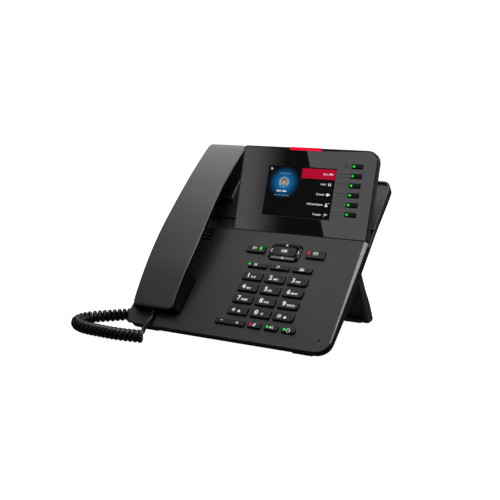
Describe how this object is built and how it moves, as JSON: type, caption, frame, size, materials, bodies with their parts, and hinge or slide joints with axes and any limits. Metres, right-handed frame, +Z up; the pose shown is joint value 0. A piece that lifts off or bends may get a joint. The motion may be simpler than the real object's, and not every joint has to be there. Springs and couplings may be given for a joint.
{
  "type": "desk ip telephone",
  "caption": "Desk telephone with a sloping key deck, tilting colour display, folding stand leg, lift-off handset and curly cord.",
  "frame": {"origin": "on the desk, under the middle of the body's box, measured without the cord", "axes": "+X to the user's right, +Y to the back, +Z up"},
  "size_m": [0.2694, 0.2133, 0.1768],
  "materials": {
    "charcoal_shell": "fine moulded texture, charcoal",
    "black_shell": "satin black moulding",
    "handset_shell": "fine moulded texture, dark grey",
    "key_plastic": "satin dark keys with white legends",
    "gloss_black": "polished piano black",
    "screen": "lit colour screen behind clear glass",
    "red_lamp": "translucent red light bar",
    "circuit_board": "green solder mask",
    "silicone": "soft dark silicone",
    "steel": "plain turned steel",
    "rubber": "matt black rubber",
    "cord_jacket": "smooth dark grey flexible jacket",
    "jack_plastic": "plain dark moulding"
  },
  "bodies": {
    "base": {"deck_cover": "charcoal_shell", "lower_shell": "black_shell", "main_board": "circuit_board", "keypad_mat": "silicone", "loudspeaker": "black_shell", "network_jacks": "jack_plastic", "handset_headset_jacks": "jack_plastic", "power_jack": "jack_plastic", "front_foot_left": "rubber", "front_foot_right": "rubber", "display_hinge_rod": "steel", "leg_hinge_rod": "steel", "base_plug": "jack_plastic", "cord_base_lead": "cord_jacket", "cord_coil": "cord_jacket", "cord_handset_lead": "cord_jacket"},
    "display": {"display_fascia": "gloss_black", "display_rear_cover": "charcoal_shell", "lcd_panel": "screen", "display_board": "circuit_board", "message_lamp": "red_lamp"},
    "stand": {"stand_leg": "charcoal_shell", "leg_foot_left": "rubber", "leg_foot_right": "rubber"},
    "handset": {"handset_back": "handset_shell", "handset_front": "handset_shell", "receiver_capsule": "steel", "microphone_capsule": "steel", "handset_plug": "cord_jacket"},
    "hook": {"hook_plunger": "black_shell"},
    "navigation_pivot": {"nav_pivot": "jack_plastic"},
    "navigation_ring": {"nav_ring": "gloss_black"},
    "ok": {"key_ok": "gloss_black"},
    "volume": {"key_volume": "key_plastic"},
    "button_1": {"key_1": "key_plastic"},
    "button_2": {"key_2": "key_plastic"},
    "button_3": {"key_3": "key_plastic"},
    "button_4": {"key_4": "key_plastic"},
    "button_5": {"key_5": "key_plastic"},
    "button_6": {"key_6": "key_plastic"},
    "button_7": {"key_7": "key_plastic"},
    "button_8": {"key_8": "key_plastic"},
    "button_9": {"key_9": "key_plastic"},
    "button_star": {"key_star": "key_plastic"},
    "button_0": {"key_0": "key_plastic"},
    "button_hash": {"key_hash": "key_plastic"},
    "button_hold": {"key_hold": "key_plastic"},
    "button_transfer": {"key_transfer": "key_plastic"},
    "button_conference": {"key_conference": "key_plastic"},
    "button_mute": {"key_mute": "key_plastic"},
    "button_speaker": {"key_speaker": "key_plastic"},
    "button_headset": {"key_headset": "key_plastic"},
    "button_menu": {"key_menu": "key_plastic"},
    "button_message": {"key_message": "key_plastic"},
    "line_1": {"line_key_1": "key_plastic"},
    "line_2": {"line_key_2": "key_plastic"},
    "line_3": {"line_key_3": "key_plastic"},
    "line_4": {"line_key_4": "key_plastic"},
    "line_5": {"line_key_5": "key_plastic"},
    "line_6": {"line_key_6": "key_plastic"}
  },
  "joints": [
    {"name": "display_tilt", "type": "hinge", "parent": "base", "child": "display", "pos_m": [0, 0.01619, 0.09502], "axis": [1, 0, 0], "range_deg": [-20, 12]},
    {"name": "stand_fold", "type": "hinge", "parent": "base", "child": "stand", "pos_m": [0, 0.00852, 0.06777], "axis": [1, 0, 0], "range_deg": [0, 95]},
    {"name": "handset_lift", "type": "slide", "parent": "base", "child": "handset", "axis": [0, -0.6674, 0.7447], "range_m": [0, 0.06]},
    {"name": "hook_release", "type": "slide", "parent": "base", "child": "hook", "axis": [0, -0.6674, 0.7447], "range_m": [0, 0.003]},
    {"name": "navigation_left_right", "type": "hinge", "parent": "base", "child": "navigation_pivot", "pos_m": [0.03125, -0.00547, 0.07484], "axis": [0, 0.7447, 0.6674], "range_deg": [-2.5, 2.5], "stiffness_Nm_per_rad": 0.4},
    {"name": "navigation_up_down", "type": "hinge", "parent": "navigation_pivot", "child": "navigation_ring", "pos_m": [0.03125, -0.00547, 0.07484], "axis": [1, 0, 0], "range_deg": [-2.5, 2.5], "stiffness_Nm_per_rad": 0.4},
    {"name": "ok_press", "type": "slide", "parent": "base", "child": "ok", "axis": [0, 0.6674, -0.7447], "range_m": [0, 0.0006], "stiffness_N_per_m": 600},
    {"name": "volume_rock", "type": "hinge", "parent": "base", "child": "volume", "pos_m": [0.0048, -0.07219, 0.01826], "axis": [0, 0.7447, 0.6674], "range_deg": [-2.5, 2.5], "stiffness_Nm_per_rad": 0.3},
    {"name": "press_1", "type": "slide", "parent": "base", "child": "button_1", "axis": [0, 0.6674, -0.7447], "range_m": [0, 0.001], "stiffness_N_per_m": 600},
    {"name": "press_2", "type": "slide", "parent": "base", "child": "button_2", "axis": [0, 0.6674, -0.7447], "range_m": [0, 0.001], "stiffness_N_per_m": 600},
    {"name": "press_3", "type": "slide", "parent": "base", "child": "button_3", "axis": [0, 0.6674, -0.7447], "range_m": [0, 0.001], "stiffness_N_per_m": 600},
    {"name": "press_4", "type": "slide", "parent": "base", "child": "button_4", "axis": [0, 0.6674, -0.7447], "range_m": [0, 0.001], "stiffness_N_per_m": 600},
    {"name": "press_5", "type": "slide", "parent": "base", "child": "button_5", "axis": [0, 0.6674, -0.7447], "range_m": [0, 0.001], "stiffness_N_per_m": 600},
    {"name": "press_6", "type": "slide", "parent": "base", "child": "button_6", "axis": [0, 0.6674, -0.7447], "range_m": [0, 0.001], "stiffness_N_per_m": 600},
    {"name": "press_7", "type": "slide", "parent": "base", "child": "button_7", "axis": [0, 0.6674, -0.7447], "range_m": [0, 0.001], "stiffness_N_per_m": 600},
    {"name": "press_8", "type": "slide", "parent": "base", "child": "button_8", "axis": [0, 0.6674, -0.7447], "range_m": [0, 0.001], "stiffness_N_per_m": 600},
    {"name": "press_9", "type": "slide", "parent": "base", "child": "button_9", "axis": [0, 0.6674, -0.7447], "range_m": [0, 0.001], "stiffness_N_per_m": 600},
    {"name": "press_star", "type": "slide", "parent": "base", "child": "button_star", "axis": [0, 0.6674, -0.7447], "range_m": [0, 0.001], "stiffness_N_per_m": 600},
    {"name": "press_0", "type": "slide", "parent": "base", "child": "button_0", "axis": [0, 0.6674, -0.7447], "range_m": [0, 0.001], "stiffness_N_per_m": 600},
    {"name": "press_hash", "type": "slide", "parent": "base", "child": "button_hash", "axis": [0, 0.6674, -0.7447], "range_m": [0, 0.001], "stiffness_N_per_m": 600},
    {"name": "press_hold", "type": "slide", "parent": "base", "child": "button_hold", "axis": [0, 0.6674, -0.7447], "range_m": [0, 0.001], "stiffness_N_per_m": 600},
    {"name": "press_transfer", "type": "slide", "parent": "base", "child": "button_transfer", "axis": [0, 0.6674, -0.7447], "range_m": [0, 0.001], "stiffness_N_per_m": 600},
    {"name": "press_conference", "type": "slide", "parent": "base", "child": "button_conference", "axis": [0, 0.6674, -0.7447], "range_m": [0, 0.001], "stiffness_N_per_m": 600},
    {"name": "press_mute", "type": "slide", "parent": "base", "child": "button_mute", "axis": [0, 0.6674, -0.7447], "range_m": [0, 0.001], "stiffness_N_per_m": 600},
    {"name": "press_speaker", "type": "slide", "parent": "base", "child": "button_speaker", "axis": [0, 0.6674, -0.7447], "range_m": [0, 0.001], "stiffness_N_per_m": 600},
    {"name": "press_headset", "type": "slide", "parent": "base", "child": "button_headset", "axis": [0, 0.6674, -0.7447], "range_m": [0, 0.001], "stiffness_N_per_m": 600},
    {"name": "press_menu", "type": "slide", "parent": "base", "child": "button_menu", "axis": [0, 0.6674, -0.7447], "range_m": [0, 0.001], "stiffness_N_per_m": 600},
    {"name": "press_message", "type": "slide", "parent": "base", "child": "button_message", "axis": [0, 0.6674, -0.7447], "range_m": [0, 0.001], "stiffness_N_per_m": 600},
    {"name": "press_line_1", "type": "slide", "parent": "display", "child": "line_1", "axis": [0, 0.9411, -0.3382], "range_m": [0, 0.0007], "stiffness_N_per_m": 600},
    {"name": "press_line_2", "type": "slide", "parent": "display", "child": "line_2", "axis": [0, 0.9411, -0.3382], "range_m": [0, 0.0007], "stiffness_N_per_m": 600},
    {"name": "press_line_3", "type": "slide", "parent": "display", "child": "line_3", "axis": [0, 0.9411, -0.3382], "range_m": [0, 0.0007], "stiffness_N_per_m": 600},
    {"name": "press_line_4", "type": "slide", "parent": "display", "child": "line_4", "axis": [0, 0.9411, -0.3382], "range_m": [0, 0.0007], "stiffness_N_per_m": 600},
    {"name": "press_line_5", "type": "slide", "parent": "display", "child": "line_5", "axis": [0, 0.9411, -0.3382], "range_m": [0, 0.0007], "stiffness_N_per_m": 600},
    {"name": "press_line_6", "type": "slide", "parent": "display", "child": "line_6", "axis": [0, 0.9411, -0.3382], "range_m": [0, 0.0007], "stiffness_N_per_m": 600}
  ],
  "couplings": [
    {"joint": "hook_release", "follows": "handset_lift", "ratio": 0.05}
  ]
}
